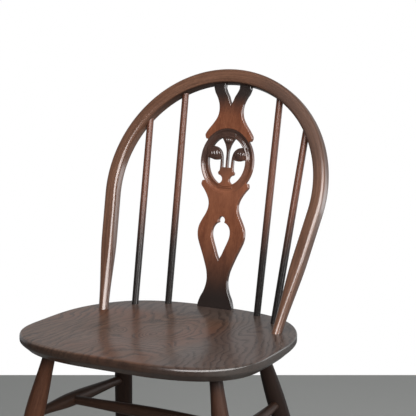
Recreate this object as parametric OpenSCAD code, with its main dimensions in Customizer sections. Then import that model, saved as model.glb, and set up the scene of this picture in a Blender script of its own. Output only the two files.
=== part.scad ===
// Hoop-back dining chair with a fretted and carved splat.
// Millimetres. The origin is on the floor, under the middle of the chair. -Y is the front, +X the
// right side as seen from the front, and +Z is up.

/* [Seat] */
// Height above the floor of the level from which the bow and the legs are set out
seat_h = 435; // [425:1:445]
// Height of the seat's flat rim above that level
rim_lift = 1.7; // [0:0.1:2.5]
// Thickness of the seat board
seat_t = 25; // [25:0.5:28]
// Widest half width of the seat, a little behind its front corners
seat_half_w = 224; // [221:0.5:227]
// Distance from the line between the bow's feet to the front edge
seat_front = 266.5; // [263:0.5:270]
// Distance from the line between the bow's feet to the back edge
seat_back = 112.5; // [111.5:0.5:116]
// Depth of the dish in the seat's top
dish_depth = 5; // [2:0.5:6]
// Width of the undercut round the seat's lower edge
undercut = 13; // [10:1:16]
// Radius of the arris round the seat's sides and back
side_arris = 2.5; // [2:0.5:4]
// Radius of the softer arris along the seat's front
front_arris = 10; // [6:0.5:10]

/* [Bow] */
// Distance of the bow's feet in from the seat's widest line
bow_foot_in = 53; // [51:0.5:55]
// How much further out the bow's round top stands than its feet
bow_swell = 31.5; // [29:0.5:34]
// Angle at which each limb leans in towards its foot
limb_angle = 8; // [7:0.5:9]
// Angle at which the whole bow leans back
bow_lean = 23.2; // [21:0.1:25]
// Width of the bow's front face at the top of the hoop
bow_top_w = 25.8; // [24:0.2:28]
// Width of the bow's front face on the limbs
bow_limb_w = 21.8; // [20:0.2:24]
// Depth of the bow, front to back
bow_depth = 27.4; // [26:0.2:30]
// Diameter of each round foot where it meets the seat
bow_foot_d = 17.5; // [17.5:0.5:19]
// Height over which the round foot grows into the full section
bow_taper_h = 130; // [110:5:150]
// Diameter of the tenon under each foot
bow_tenon_d = 16.5; // [15.5:0.5:16.5]

/* [Spindles] */
// Diameter of a spindle at its middle
spindle_d = 12.8; // [12.2:0.1:13.4]
// Diameter of a spindle's ends, which is also the size of their holes
spindle_end_d = 12; // [11:0.5:12]
// Distance of an outer spindle's foot in from the bow's foot
outer_foot_in = 32; // [30:0.5:34]
// Distance of an outer spindle's foot behind the bow's feet
outer_foot_y = 54.6; // [53:0.2:57]
// Angle round the bow's top at which an outer spindle enters it
outer_top_angle = 39.5; // [38:0.5:41]
// Distance of an inner spindle's foot in from the outer spindle's foot
inner_foot_in = 49.5; // [48:0.5:52]
// Distance of an inner spindle's foot behind the bow's feet
inner_foot_y = 88; // [86:0.5:89]
// Angle round the bow's top at which an inner spindle enters it
inner_top_angle = 62.2; // [61:0.2:64]
// Depth of a spindle's hole in the seat, below the setting-out level
spindle_hole = 15; // [12:1:17]

/* [Splat] */
// Thickness of the splat board
splat_t = 9.5; // [9:0.5:10.5]
// Distance of the splat's front face behind the bow's feet, at the seat
splat_foot_y = 95.4; // [94:0.2:97]
// Distance of the splat's front face ahead of the bow's middle line, at the top of the hoop
splat_ahead = 7.39; // [6.5:0.01:8.5]
// How far short of that middle line the splat's prongs end
prong_short = 7.3; // [5:0.1:9]
// Height of the roundel's middle, measured up the splat
roundel_h = 263.5; // [262:0.5:265]
// Half width of the roundel's rim
roundel_half_w = 51.8; // [51:0.2:52]
// Height of the roundel divided by its width
roundel_oval = 1.12; // [1.1:0.01:1.14]
// Half width of the roundel's opening
opening_half_w = 37; // [36.5:0.5:38]
// Half height of the roundel's opening
opening_half_h = 43.5; // [43:0.5:44]
// Depth of the carved groove round the opening
groove_depth = 3.6; // [2:0.2:4]
// Distance of that groove in from the roundel's rim
groove_in = 6.8; // [6:0.2:8]
// Width of a tenon at the top of a splat prong
prong_w = 22.5; // [21:0.5:23]

/* [Legs] */
// Distance of the front legs' axes in from the seat's widest line, at the setting-out level
front_leg_in = 73.2; // [71:0.2:76]
// Distance of the front legs' axes behind the seat's front edge, at the same level
front_leg_back = 85.2; // [83:0.1:88]
// Distance of the rear legs' axes in from the seat's widest line, at the same level
rear_leg_in = 93.3; // [91:0.1:96]
// Distance of the rear legs' axes ahead of the seat's back edge, at the same level
rear_leg_ahead = 112; // [110:0.5:114]
// Sideways splay of a front leg, in millimetres for each millimetre of height
front_splay = 0.218; // [0.2:0.001:0.225]
// Forward rake of a front leg, in millimetres for each millimetre of height
front_rake = 0.156; // [0.14:0.001:0.17]
// Sideways splay of a rear leg, in millimetres for each millimetre of height
rear_splay = 0.178; // [0.16:0.001:0.19]
// Backward rake of a rear leg, in millimetres for each millimetre of height
rear_rake = 0.282; // [0.26:0.001:0.3]
// Diameter of a leg just under the seat
leg_neck_d = 21; // [20:0.5:22]
// Diameter of a front leg at its thickest, where the stretcher enters it
front_belly_d = 33.4; // [31:0.2:35]
// Diameter of a rear leg at its thickest
rear_belly_d = 31.6; // [30:0.2:34]
// Diameter of a leg at the floor
leg_foot_d = 23; // [21:0.5:26]
// Diameter of the tenon on top of a leg
leg_tenon_d = 19; // [17:0.5:19]
// Depth of a leg's hole in the seat
leg_hole = 16; // [13:0.5:17]

/* [Stretchers] */
// Distance down a leg from the setting-out level to its stretcher
stretcher_drop = 142; // [130:1:160]
// Diameter of a side stretcher at its thickest
side_belly_d = 24.5; // [23:0.5:26]
// Diameter of the cross stretcher at its thickest
cross_belly_d = 22; // [20:0.5:24]
// Diameter of a stretcher's ends, which is also the size of their holes
stretcher_end_d = 15.5; // [14:0.5:16]
// Place of the cross stretcher along the side stretchers, as a share from the front
cross_share = 0.4; // [0.35:0.01:0.5]

/* [Fits] */
// Gap left round each tenon for the glue
glue_gap = 0.1; // [0.05:0.05:0.2]
// Thickness of a foot wedge at its wide end
wedge_t = 3; // [2:0.5:4]
// Length of a foot wedge
wedge_l = 18; // [14:1:20]

/* [Hidden] */
$fn = 48;

// The line between the bow's feet, in the chair's own frame
foot_line_y = 39;
// The seat's rim, its flat underside, and how far the underside is below the setting-out level
rim_h = seat_h + rim_lift;
under_h = rim_h - seat_t;
under_drop = seat_t - rim_lift;
// Half the distances between the bow's feet, the spindles' feet and the legs' axes
bow_foot_x = seat_half_w - bow_foot_in;
outer_foot_x = bow_foot_x - outer_foot_in;
inner_foot_x = outer_foot_x - inner_foot_in;
front_leg_x = seat_half_w - front_leg_in;
rear_leg_x = seat_half_w - rear_leg_in;
// The front legs' axes ahead of the line between the bow's feet, and the rear legs' behind it
front_leg_y = seat_front - front_leg_back;
rear_leg_y = seat_back - rear_leg_ahead;
// Radius of the bow's round top, to the middle of its section
bow_r = bow_foot_x + bow_swell;
// Height of the middle of the bow's round top, measured up the leaning hoop
bow_mid_h = (bow_r * cos(limb_angle) - bow_foot_x) / tan(limb_angle) + bow_r * sin(limb_angle);
// The top of the bow's middle line, behind the bow's feet and above the setting-out level
bow_top_y = (bow_mid_h + bow_r) * sin(bow_lean);
bow_top_h = (bow_mid_h + bow_r) * cos(bow_lean);
// The splat's lean from the seat to the bow, and its length up to the ends of its prongs
splat_lean = atan2(bow_top_y - splat_ahead - splat_foot_y, bow_top_h);
splat_l = bow_top_h / cos(splat_lean) - prong_short;

WALNUT = [0.25, 0.13, 0.09];
DARK_ELM = [0.22, 0.16, 0.13];
SHADED = [0.17, 0.11, 0.09];

// A smooth step from 0 to 1 as x goes from a to b
function ease(x, a, b) = let (t = min(max((x - a) / (b - a), 0), 1)) t * t * (3 - 2 * t);

// A point on a cubic curve with two end points and two handles
function cubic(p, t) = pow(1 - t, 3) * p[0] + 3 * pow(1 - t, 2) * t * p[1]
                     + 3 * (1 - t) * t * t * p[2] + t * t * t * p[3];

// A smooth curve through the points p, with n steps from each to the next
function through(p, n) = [
    for (i = [0:len(p) - 2])
        let (a = p[max(i - 1, 0)], b = p[i], c = p[i + 1], d = p[min(i + 2, len(p) - 1)])
        for (k = [0:n - 1])
            cubic([b, b + (c - a) / 6, c - (d - b) / 6, c], k / n),
    p[len(p) - 1]
];

function reversed(p) = [for (i = [len(p) - 1:-1:0]) p[i]];
function mirrored_x(p) = [for (q = p) [-q[0], q[1]]];

// The middle of a ring of points
function middle(p) = [for (i = [0:2]) [for (q = p) 1] * [for (q = p) q[i]] / len(p)];

// A closed skin over rings of equal length, with a flat cap on the first and the last
module skin(rings) {
    n = len(rings[0]);
    m = len(rings);
    top = (m - 1) * n;
    sides = [
        for (i = [0:m - 2])
            for (j = [0:n - 1])
                let (a = i * n + j, b = i * n + (j + 1) % n)
                each [[a, a + n, b], [b, a + n, b + n]]
    ];
    caps = [
        for (j = [0:n - 1])
            each [[m * n, j, (j + 1) % n], [m * n + 1, top + (j + 1) % n, top + j]]
    ];
    polyhedron(
        points = concat([for (r = rings) each r], [middle(rings[0]), middle(rings[m - 1])]),
        faces = concat(sides, caps),
        convexity = 6
    );
}

// Tips the Z axis over to the direction d, without a twist about the axis itself
module along(d) {
    heading = atan2(d[1], d[0]);
    rotate([0, acos(d[2] / norm(d)), heading]) rotate([0, 0, -heading]) children();
}

// Keeps its children between two heights above the floor
reach = 400;
module between(low, high) {
    intersection() {
        children();
        translate([-reach, -reach, low]) cube([2 * reach, 2 * reach, high - low]);
    }
}

// A turned round piece: a list of [distance, radius], with distance along Z
module turned(profile) {
    a = profile[0][0];
    b = profile[len(profile) - 1][0];
    rotate_extrude() polygon([[0, a], for (q = profile) [q[1], q[0]], [0, b]]);
}

// Seat

// Half of the seat's plan, from the front middle to the back middle: a short straight front, a
// wide round corner, a side drawn in a little towards the shoulder, and the round back
front_flat = 45;
corner_y = -137;
shoulder = [seat_half_w - 38, 42.7];
seat_half = concat(
    [for (i = [0:3]) [front_flat * i / 4, -seat_front]],
    [for (i = [0:12]) cubic([[front_flat, -seat_front], [115, -seat_front],
                             [seat_half_w + 2, -248], [seat_half_w, corner_y]], i / 13)],
    [for (i = [0:9]) cubic([[seat_half_w, corner_y], [seat_half_w - 2, -66],
                            [seat_half_w + 3, -16], shoulder], i / 10)],
    [for (i = [0:9]) cubic([shoulder, [shoulder[0] - 28, 82.9], [117.5, seat_back], [0, seat_back]], i / 10)],
    [[0, seat_back]]
);
seat_plan = concat(
    seat_half,
    [for (i = [len(seat_half) - 2:-1:1]) [-seat_half[i][0], seat_half[i][1]]]
);

// The direction into the seat, square to its edge, at each point of the plan
seat_inward = [
    for (i = [0:len(seat_plan) - 1])
        let (a = seat_plan[(i + len(seat_plan) - 1) % len(seat_plan)],
             b = seat_plan[(i + 1) % len(seat_plan)],
             t = (b - a) / norm(b - a))
        [-t[1], t[0]]
];

// The arris is soft where the edge faces the front and crisp elsewhere
arris_r = [for (n = seat_inward) side_arris + (front_arris - side_arris) * ease(n[1], 0.3, 0.95)];

// The plan drawn in by a distance, at the height z
function seat_ring(d, z) = [
    for (i = [0:len(seat_plan) - 1])
        let (q = seat_plan[i] + d * seat_inward[i])
        [q[0], q[1], z]
];

// One ring of the arris, a degrees round from the upright band towards the top
function arris_ring(a) = [
    for (i = [0:len(seat_plan) - 1])
        let (q = seat_plan[i] + arris_r[i] * (1 - cos(a)) * seat_inward[i])
        [q[0], q[1], -arris_r[i] * (1 - sin(a))]
];

// The edge from the underside up: a slight chamfer, the undercut, an upright band and the arris
band_low = 13;
edge_rings = [
    seat_ring(undercut + 1.5, -seat_t),
    seat_ring(undercut, -seat_t + 0.5),
    seat_ring(2.2, -band_low - 1.6),
    seat_ring(0.6, -band_low + 0.3),
    seat_ring(0, -band_low + 2.6),
    for (a = [0:22.5:90]) arris_ring(a)
];

// The dish: rings drawn towards a point ahead of the seat's middle
dish_mid = [0, -70];
rim_w = 2;
dish_rings = [
    for (k = [1, 0.94, 0.88, 0.82, 0.75, 0.67, 0.58, 0.48, 0.37, 0.26, 0.15])
        [for (i = [0:len(seat_plan) - 1])
            let (q = seat_plan[i] + (arris_r[i] + rim_w) * seat_inward[i],
                 r = dish_mid + k * (q - dish_mid))
            [r[0], r[1], -dish_depth * (1 - ease(k, 0.15, 0.82))]]
];

module seat_board() {
    translate([0, foot_line_y, rim_h]) skin(concat(edge_rings, dish_rings));
}

module seat() {
    color(DARK_ELM) difference() {
        seat_board();
        for (side = [-1, 1]) {
            bow_frame() limb_frame(side)
                translate([0, 0, -2 * seat_t]) cylinder(d = bow_tenon_d + 2 * glue_gap, h = 4 * seat_t);
            for (s = [outer_spindle(side), inner_spindle(side)])
                translate(s[0]) along(s[1] - s[0]) translate([0, 0, -spindle_hole])
                    cylinder(d = spindle_end_d + 2 * glue_gap, h = 2 * spindle_hole);
            for (leg = [front_leg(side), rear_leg(side)])
                leg_frame(leg) translate([0, 0, -leg_slant(leg) * 2 * under_drop])
                    cylinder(d = leg_tenon_d + 2 * glue_gap, h = leg_slant(leg) * under_drop + leg_hole);
        }
        splat_frame() splat_tongue(glue_gap);
    }
}

// Bow

// The bow's own frame: X across, Z up the leaning hoop, Y square to it towards the back
module bow_frame() {
    translate([0, foot_line_y, seat_h]) rotate([-bow_lean, 0, 0]) children();
}

// One limb's frame: Z up the limb from its foot at the seat's rim
module limb_frame(side) {
    translate([side * bow_foot_x, 0, 0]) rotate([0, side * limb_angle, 0]) children();
}

// The middle line of a limb at the height h up the hoop
function limb_point(side, h) = [side * (bow_foot_x + h * tan(limb_angle)), h];

// Width and depth of the bow at the height h, and at the angle a round its top
function bow_width(h, a) =
    let (full = bow_limb_w + (bow_top_w - bow_limb_w) * pow(max(sin(a), 0), 2))
    bow_foot_d + (full - bow_foot_d) * ease(h, 0, bow_taper_h);
function bow_thick(h) = bow_foot_d + (bow_depth - bow_foot_d) * ease(h, 0, bow_taper_h);

// One ring of the bow. The power corner is 1 for an oval, and less for a soft-cornered block
ring_sides = 24;
block_corner = 0.5;
function bow_ring(c, out, w, d, corner) = [
    for (i = [0:ring_sides - 1])
        let (a = 360 * i / ring_sides,
             u = sign(cos(a)) * pow(abs(cos(a)), corner),
             v = sign(sin(a)) * pow(abs(sin(a)), corner))
        [c[0] + out[0] * u * w / 2, v * d / 2, c[1] + out[1] * u * w / 2]
];
function limb_ring(side, h) = bow_ring(
    limb_point(side, h), [side * cos(limb_angle), -sin(limb_angle)],
    bow_width(h, 0), bow_thick(h), 1 - (1 - block_corner) * ease(h, 0, bow_taper_h)
);
function hoop_ring(a) = bow_ring(
    [bow_r * cos(a), bow_mid_h + bow_r * sin(a)], [cos(a), sin(a)],
    bow_width(bow_mid_h, a), bow_thick(bow_mid_h), block_corner
);

// The rings start below the seat's rim, where the foot is cut off square to the floor
limb_steps = [-30, -8, 8, 24, 40, 56, 72, 88, 104, 120, 140, 175];
hoop_parts = 37;
hoop_angles = [for (i = [0:hoop_parts]) -limb_angle + (180 + 2 * limb_angle) * i / hoop_parts];
bow_rings = concat(
    [for (h = limb_steps) limb_ring(1, h)],
    [for (a = hoop_angles) hoop_ring(a)],
    [for (h = reversed(limb_steps)) limb_ring(-1, h)]
);

module bow() {
    color(WALNUT) difference() {
        union() {
            between(rim_h, 3 * seat_h) bow_frame() skin(bow_rings);
            between(under_h, rim_h + bow_tenon_d / 2) bow_frame() for (side = [-1, 1])
                limb_frame(side) translate([0, 0, -2 * seat_t])
                    cylinder(d = bow_tenon_d, h = 2 * seat_t + bow_tenon_d);
        }
        for (side = [-1, 1]) {
            for (s = [outer_spindle(side), inner_spindle(side)])
                translate(s[1]) along(s[1] - s[0]) translate([0, 0, -2 * bow_depth])
                    cylinder(d = spindle_end_d + 2 * glue_gap, h = 2 * bow_depth + glue_gap);
            bow_wedge(side);
            splat_frame() prong_tenon(side, glue_gap);
        }
    }
}

// A wedge driven up into the foot's tenon and cut off level with the seat's underside
wedge_low = under_drop / (cos(bow_lean) * cos(limb_angle)) + bow_tenon_d / 2;
wedge_tip = 0.6;
module bow_wedge(side) {
    l = wedge_l + bow_tenon_d / 2;
    between(under_h, seat_h) bow_frame() limb_frame(side) translate([0, 0, -wedge_low])
        rotate([90, 0, 0]) linear_extrude(height = bow_tenon_d - 2, center = true)
            polygon([[-wedge_t / 2, 0], [wedge_t / 2, 0], [wedge_tip / 2, l], [-wedge_tip / 2, l]]);
}

module bow_wedges() {
    color(WALNUT) for (side = [-1, 1]) bow_wedge(side);
}

// Spindles

// Each spindle as its two end points: at the seat, and on the bow's middle line
function on_bow(side, a) = let (h = bow_mid_h + bow_r * sin(a))
    [side * bow_r * cos(a), foot_line_y + h * sin(bow_lean), seat_h + h * cos(bow_lean)];
function outer_spindle(side) = [[side * outer_foot_x, foot_line_y + outer_foot_y, seat_h],
                                on_bow(side, outer_top_angle)];
function inner_spindle(side) = [[side * inner_foot_x, foot_line_y + inner_foot_y, seat_h],
                                on_bow(side, inner_top_angle)];

// The spindle swells a little between its two ends, and each end has a slight chamfer
spindle_neck_h = 6;
spindle_top_l = 20;
end_chamfer = 0.8;
module spindle(s) {
    l = norm(s[1] - s[0]);
    end_r = spindle_end_d / 2;
    swell = (spindle_d - spindle_end_d) / 2;
    body_l = l - spindle_neck_h - spindle_top_l;
    color(SHADED) translate(s[0]) along(s[1] - s[0]) turned(concat(
        [[-spindle_hole, end_r - end_chamfer], [-spindle_hole + 1, end_r]],
        [for (i = [0:8]) [spindle_neck_h + body_l * i / 8, end_r + swell * sin(22.5 * i)]],
        [[l - 1, end_r], [l, end_r - end_chamfer]]
    ));
}

module spindle_outer_left() { spindle(outer_spindle(-1)); }
module spindle_inner_left() { spindle(inner_spindle(-1)); }
module spindle_inner_right() { spindle(inner_spindle(1)); }
module spindle_outer_right() { spindle(outer_spindle(1)); }

// Splat

// The splat's own frame: X across, Z up its front face from the seat, Y back through the board
module splat_frame() {
    translate([0, foot_line_y + splat_foot_y, seat_h]) rotate([-splat_lean, 0, 0]) children();
}

// A flat drawing in the splat's face, made t thick from a depth y behind the face
module in_board(y, t) {
    translate([0, y + t, 0]) rotate([90, 0, 0]) linear_extrude(height = t) children();
}

prong_in = 14.2;
prong_out = prong_in + prong_w;

// The outline is drawn for a roundel at one height. Below the roundel its heights stretch with
// the roundel's place, and above it with what is left of the splat's length
roundel_gap = 37.1;
drawn_low_l = 226.4;
drawn_high_l = 140.5;
function below(p) = [for (q = p) [q[0], q[1] * (roundel_h - roundel_gap) / drawn_low_l]];
function above(p) = [for (q = p) [q[0], roundel_h + q[1] * (splat_l - roundel_h) / drawn_high_l]];

// The right edge of the splat from its foot up: waist, swell, waist, and the beak under the roundel
lower_edge = through(below([
    [34.6, 7], [30.8, 18.8], [25, 30.3], [21.5, 41.5], [20.4, 52.4], [21.6, 63], [24.4, 73.4],
    [32.5, 94], [41.6, 114.6], [45.2, 125], [46.3, 135.6], [44.3, 146.6], [38.8, 158], [32.6, 169.2],
    [29.2, 180.3], [29.6, 190.9], [34, 201.3], [40.8, 211.4], [45.2, 216.6], [46.8, 220.6],
    [45.4, drawn_low_l]
]), 2);
// The same edge above the roundel, from the roundel's middle up: beak, neck and the spread of the prong
upper_edge = through(above([
    [44.4, 37.5], [46.6, 44.7], [40.4, 55.2], [31.6, 66.5], [25, 77.6], [22.7, 88.4], [23.4, 98.5],
    [25.6, 106], [29, 113], [33.6, 120.5], [prong_out, 129]
]), 2);
// The right side of the notch between the prongs, from its point up
notch_edge = through(above([[0.6, 100.1], [3.8, 107.6], [6.6, 114.8], [11, 122], [prong_in, 129]]), 2);
// The right side of the tear-shaped opening, from its point up to the small round lobe on top
tear_edge = through(below([
    [0.8, 88], [5.4, 97.5], [9.6, 108], [14.2, 118.8], [17.7, 129.5], [18.1, 139], [16, 146],
    [11.4, 151.6], [5, 154]
]), 3);
tear_lobe_r = 6.5;
tear_lobe = below([[0, 158.6]])[0];

module both_halves(edge) {
    polygon(concat(edge, reversed(mirrored_x(edge))));
}

module oval(half_w, half_h) {
    translate([0, roundel_h]) scale([1, half_h / half_w]) circle(r = half_w, $fn = 72);
}

// Where the edges run in under the roundel's rim, from its middle
join_x = 30;
join_dh = 34.5;
module splat_outline() {
    difference() {
        union() {
            both_halves(concat([[lower_edge[0][0], -8]], lower_edge, [[join_x, roundel_h - join_dh]]));
            both_halves(concat([[join_x, roundel_h + join_dh]], upper_edge, [[prong_out, splat_l]]));
            oval(roundel_half_w, roundel_half_w * roundel_oval);
        }
        both_halves(concat(notch_edge, [[prong_in, splat_l + 1]]));
        both_halves(tear_edge);
        translate(tear_lobe) circle(r = tear_lobe_r);
        difference() {
            oval(opening_half_w, opening_half_h);
            translate([0, roundel_h]) figure();
        }
    }
}

// The figure in the roundel, drawn about the roundel's middle: a base with a round notch each
// side, a collar and three flowers
beak_h = -20.7;
collar_h = -11;
collar_x = 12.4;
stem_w = 4.2;
notch_r = 7.6;
notch_x = 14.4;
notch_h = -32.5;
bud_top = 50.5;
module figure() {
    difference() {
        translate([-notch_x, notch_h - 2 * notch_r])
            square([2 * notch_x, beak_h + 1 - notch_h + 2 * notch_r]);
        for (side = [-1, 1]) translate([side * notch_x, notch_h]) circle(r = notch_r);
    }
    both_halves([[16, beak_h], [13.2, beak_h + 3.2], [collar_x, collar_h], [0, collar_h]]);
    translate([-stem_w / 2, beak_h - 2]) square([stem_w, bud_top / 2 - beak_h]);
    both_halves(through([[1.6, 12.5], [2.6, 20.5], [5.4, 29], [9.8, 36.5], [14, 43.5], [14, bud_top]], 3));
    for (side = [-1, 1]) side_flower(side);
}

// One drooping side flower: a stem that arches over from the collar to the rim, and its head
arch = through([[10.6, -23.5], [10.8, -1.5], [11.8, 8.5], [15, 16.5], [21, 21.7], [30, 23.9], [40, 24.1]], 4);
head = through([[12.6, 5], [16.6, 1.7], [24.2, 0.9], [31, 2.7], [40, 4.5], [40, 22.5], [28, 22.9],
                [18, 18.5], [13, 10.5]], 3);
module side_flower(side) {
    for (i = [0:len(arch) - 2])
        stem_piece(side, arch[i], arch[i + 1]);
    polygon([for (q = head) [side * q[0], q[1]]]);
}
module stem_piece(side, a, b) {
    t = (b - a) / norm(b - a);
    n = [-t[1], t[0]] * stem_w / 2;
    lap = t * stem_w / 10;
    polygon([for (q = [a - lap - n, b + lap - n, b + lap + n, a - lap + n]) [side * q[0], q[1]]]);
}

// The carved moulding round the opening: a small step down along the roundel's whole outline, a
// hollow that falls from it to a groove, and a slope that rises again to the opening's edge
step_drop = 0.8;
edge_drop = 0.8;
module roundel_moulding() {
    outer = roundel_half_w + 0.2;
    groove = roundel_half_w - groove_in;
    inner = opening_half_w - 4;
    slope_mid = 0.55 * groove_depth;
    translate([0, 0, roundel_h]) rotate([90, 0, 0]) scale([1, roundel_oval, 1])
        rotate_extrude($fn = 72) polygon([
            [inner, -edge_drop], [inner, 3], [outer, 3], [outer, -step_drop],
            [(outer + groove) / 2, -(step_drop + slope_mid) / 2], [groove + 1, -groove_depth + 0.6],
            [groove, -groove_depth], [groove - 2.8, -slope_mid], [opening_half_w + 1.4, -edge_drop]
        ]);
}

// The tongue under the splat, let into the seat
tongue_half_w = 30;
tongue_l = 13;
module splat_tongue(gap) {
    translate([-tongue_half_w - gap, -gap, -tongue_l - gap])
        cube([2 * (tongue_half_w + gap), splat_t + 2 * gap, tongue_l + 10]);
}

// The straight end of a prong, let into the bow
module prong_tenon(side, gap) {
    translate([side > 0 ? prong_in - gap : -prong_out - gap, -gap, splat_l - bow_depth])
        cube([prong_w + 2 * gap, splat_t + 2 * gap, bow_depth + gap]);
}

module splat() {
    color(WALNUT) union() {
        between(rim_h, 3 * seat_h) splat_frame() difference() {
            in_board(0, splat_t) splat_outline();
            roundel_moulding();
        }
        splat_frame() splat_tongue(0);
        splat_frame() carved_heads();
    }
}

// The heads of the three flowers stand a little proud of the figure, as shallow round bosses
head_x = 25;
head_h = 12;
head_r = 8.5;
bud_h = 37;
bud_r = 6.5;
boss_rise = 2;
module carved_heads() {
    for (side = [-1, 1])
        translate([side * head_x, head_r - boss_rise, roundel_h + head_h]) sphere(r = head_r, $fn = 32);
    translate([0, bud_r - boss_rise, roundel_h + bud_h]) sphere(r = bud_r, $fn = 32);
}

// Legs

// Each leg as [x, y] of its axis at the setting-out level, its slope down to the floor, and its
// greatest diameter
function front_leg(side) =
    [[side * front_leg_x, foot_line_y - front_leg_y], [side * front_splay, -front_rake], front_belly_d];
function rear_leg(side) =
    [[side * rear_leg_x, foot_line_y + rear_leg_y], [side * rear_splay, rear_rake], rear_belly_d];

// How much longer a leg is than its height, and the point a distance s down its axis
function leg_slant(leg) = norm([leg[1][0], leg[1][1], 1]);
function leg_point(leg, s) = let (h = s / leg_slant(leg))
    [leg[0][0] + leg[1][0] * h, leg[0][1] + leg[1][1] * h, seat_h - h];

// A leg's frame: Z up the leg, from the point where its axis crosses the setting-out level
module leg_frame(leg) {
    translate([leg[0][0], leg[0][1], seat_h]) along([-leg[1][0], -leg[1][1], 1]) children();
}

// A leg's radius a distance s down from the level, for a leg of length l: it swells from its
// neck to where the stretcher enters it, then thins towards the foot
taper_power = 1.7;
function leg_radius(leg, s, l) = s < stretcher_drop
    ? (leg_neck_d + (leg[2] - leg_neck_d) * ease(s, under_drop, stretcher_drop)) / 2
    : (leg[2] - (leg[2] - leg_foot_d) * pow((s - stretcher_drop) / (l - stretcher_drop), taper_power)) / 2;

module leg(leg, other) {
    l = seat_h * leg_slant(leg);
    low = l + leg_foot_d;
    high = under_drop / 3;
    steps = concat([for (i = [0:14]) low - (low - stretcher_drop) * i / 15],
                   [for (i = [0:12]) stretcher_drop - (stretcher_drop - high) * i / 12]);
    tenon_low = under_drop + leg_tenon_d;
    tenon_top = leg_slant(leg) * under_drop - leg_hole + glue_gap;
    color(WALNUT) difference() {
        union() {
            between(0, under_h) leg_frame(leg) turned([for (s = steps) [-s, leg_radius(leg, s, l)]]);
            leg_frame(leg) translate([0, 0, -tenon_low])
                cylinder(d = leg_tenon_d, h = tenon_low - tenon_top);
        }
        stretcher_hole(leg_point(leg, stretcher_drop), leg_point(other, stretcher_drop));
    }
}

module leg_front_left() { leg(front_leg(-1), rear_leg(-1)); }
module leg_front_right() { leg(front_leg(1), rear_leg(1)); }
module leg_rear_left() { leg(rear_leg(-1), front_leg(-1)); }
module leg_rear_right() { leg(rear_leg(1), front_leg(1)); }

// Stretchers

// A blind hole for a stretcher's end, from just short of the axis point a towards b
end_gap = 2;
module stretcher_hole(a, b) {
    translate(a) along(b - a) translate([0, 0, end_gap - glue_gap])
        cylinder(d = stretcher_end_d + 2 * glue_gap, h = 2 * stretcher_end_d);
}

// A stretcher between the axis points a and b, thickest at a share of its length
plain_end_l = 26;
module stretcher(a, b, belly_d, share) {
    l = norm(b - a);
    end_r = stretcher_end_d / 2;
    grow = belly_d / 2 - end_r;
    belly = share * l;
    color(SHADED) translate(a) along(b - a) turned(concat(
        [[end_gap, end_r - end_chamfer], [end_gap + 1, end_r]],
        [for (i = [0:8]) [plain_end_l + (belly - plain_end_l) * i / 8, end_r + grow * ease(i, -1, 8)]],
        [for (i = [1:8]) [belly + (l - plain_end_l - belly) * i / 8, end_r + grow * ease(8 - i, -1, 8)]],
        [[l - end_gap - 1, end_r], [l - end_gap, end_r - end_chamfer]]
    ));
}

// The ends of a side stretcher and of the cross stretcher, on the axes of what they enter
function side_end(side, rear) = leg_point(rear ? rear_leg(side) : front_leg(side), stretcher_drop);
function cross_end(side) = side_end(side, false) * (1 - cross_share) + side_end(side, true) * cross_share;

module side_stretcher(side) {
    color(SHADED) difference() {
        stretcher(side_end(side, false), side_end(side, true), side_belly_d, cross_share);
        stretcher_hole(cross_end(side), cross_end(-side));
    }
}

module side_stretcher_left() { side_stretcher(-1); }
module side_stretcher_right() { side_stretcher(1); }
module cross_stretcher() {
    stretcher(cross_end(-1), cross_end(1), cross_belly_d, 0.5);
}

seat();
bow();
splat();
spindle_outer_left();
spindle_inner_left();
spindle_inner_right();
spindle_outer_right();
leg_front_left();
leg_front_right();
leg_rear_left();
leg_rear_right();
side_stretcher_left();
side_stretcher_right();
cross_stretcher();
bow_wedges();
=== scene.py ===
import math

import bmesh
import bpy
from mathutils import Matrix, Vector


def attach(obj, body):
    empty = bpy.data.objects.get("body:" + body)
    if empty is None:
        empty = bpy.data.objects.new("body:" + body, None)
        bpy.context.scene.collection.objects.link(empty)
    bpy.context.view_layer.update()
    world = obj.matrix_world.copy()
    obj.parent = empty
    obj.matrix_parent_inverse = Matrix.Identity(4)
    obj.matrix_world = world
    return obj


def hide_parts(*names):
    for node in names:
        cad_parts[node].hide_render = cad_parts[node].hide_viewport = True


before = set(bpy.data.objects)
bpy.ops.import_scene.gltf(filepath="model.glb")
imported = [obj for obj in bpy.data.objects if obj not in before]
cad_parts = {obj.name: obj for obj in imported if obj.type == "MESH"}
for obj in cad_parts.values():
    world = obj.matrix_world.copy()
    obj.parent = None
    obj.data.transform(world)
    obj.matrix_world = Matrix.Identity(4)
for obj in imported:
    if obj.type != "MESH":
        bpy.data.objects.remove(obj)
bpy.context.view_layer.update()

# Studio
# A pale floor ends in a straight line behind the chair, before a white background. Three soft
# lamps light the wood but don't show in reflections, which see four lit boards instead.
CAMERA_AZIMUTH = math.radians(28.86)
CAMERA_ELEVATION = math.radians(10.64)
CAMERA_DISTANCE = 2.5865
LOOK_AT = Vector((0.0408, 0.0390, 0.6370))
SENSOR_WIDTH = 36
FOCAL_PIXELS = 1535
FRAME_PIXELS = 416
to_camera = Vector((
    math.sin(CAMERA_AZIMUTH) * math.cos(CAMERA_ELEVATION),
    -math.cos(CAMERA_AZIMUTH) * math.cos(CAMERA_ELEVATION),
    math.sin(CAMERA_ELEVATION),
))
away = Vector((-math.sin(CAMERA_AZIMUTH), math.cos(CAMERA_AZIMUTH), 0))
camera_place = LOOK_AT + CAMERA_DISTANCE * to_camera
bpy.ops.object.camera_add(
    location=camera_place, rotation=to_camera.to_track_quat("Z", "Y").to_euler()
)
camera = bpy.context.object
camera.data.sensor_width = SENSOR_WIDTH
camera.data.lens = SENSOR_WIDTH * FOCAL_PIXELS / FRAME_PIXELS
bpy.context.scene.camera = camera
bpy.context.scene.view_settings.view_transform = "Standard"


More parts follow.
